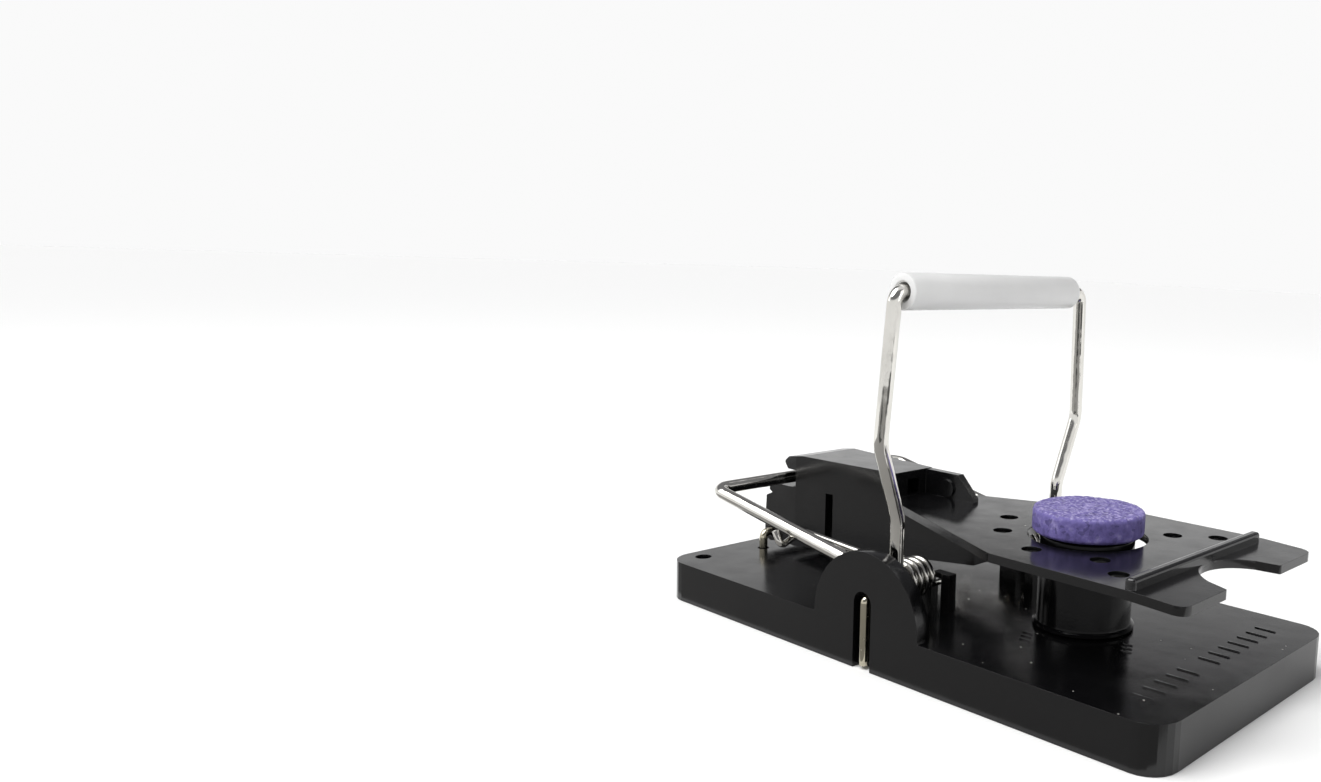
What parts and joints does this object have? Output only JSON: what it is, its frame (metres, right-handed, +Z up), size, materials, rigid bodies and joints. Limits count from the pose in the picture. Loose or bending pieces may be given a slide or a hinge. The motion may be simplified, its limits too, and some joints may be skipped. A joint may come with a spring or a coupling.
{
  "type": "snap mouse trap",
  "caption": "Moulded snap trap with a sprung wire kill bar and setting lever, a hinged latch treadle and a bait tablet on a post.",
  "frame": {"origin": "centre of the object's bounding box at the level that the base stands on", "axes": "+X towards the bait end, +Y across the trap, +Z up"},
  "size_m": [0.1, 0.0508, 0.0587],
  "materials": {
    "base_plastic": "satin black",
    "treadle_plastic": "satin black",
    "pedestal_plastic": "gloss black",
    "bright_wire": "bright plated",
    "spring_wire": "bright drawn",
    "staple_wire": "nickel, warm",
    "sleeve_plastic": "milky white",
    "bait_block": "pressed, speckled purple"
  },
  "bodies": {
    "base": {"base": "base_plastic", "axle_pin_near": "staple_wire", "axle_pin_far": "staple_wire", "treadle_staple": "staple_wire", "bait_pedestal": "pedestal_plastic", "spring_near": "spring_wire", "spring_far": "spring_wire"},
    "kill_bar": {"kill_frame": "bright_wire"},
    "sleeve": {"grip_sleeve": "sleeve_plastic"},
    "treadle": {"treadle": "treadle_plastic"},
    "bait": {"bait_tablet": "bait_block"}
  },
  "joints": [
    {"name": "kill_bar_swing", "type": "hinge", "parent": "base", "child": "kill_bar", "pos_m": [-0.0012, 0, 0.0107], "axis": [0, 1, 0], "range_deg": [0, 67], "deforming": ["spring_near", "spring_far"]},
    {"name": "treadle_trip", "type": "hinge", "parent": "base", "child": "treadle", "pos_m": [-0.0442, 0, 0.0096], "axis": [0, 1, 0], "range_deg": [0, 6.5]},
    {"name": "sleeve_spin", "type": "hinge", "parent": "kill_bar", "child": "sleeve", "pos_m": [0.0018, 0, 0.056], "axis": [0, 1, 0], "continuous": true},
    {"name": "bait_lift", "type": "slide", "parent": "base", "child": "bait", "axis": [0, 0, 1], "range_m": [0, 0.008]}
  ]
}
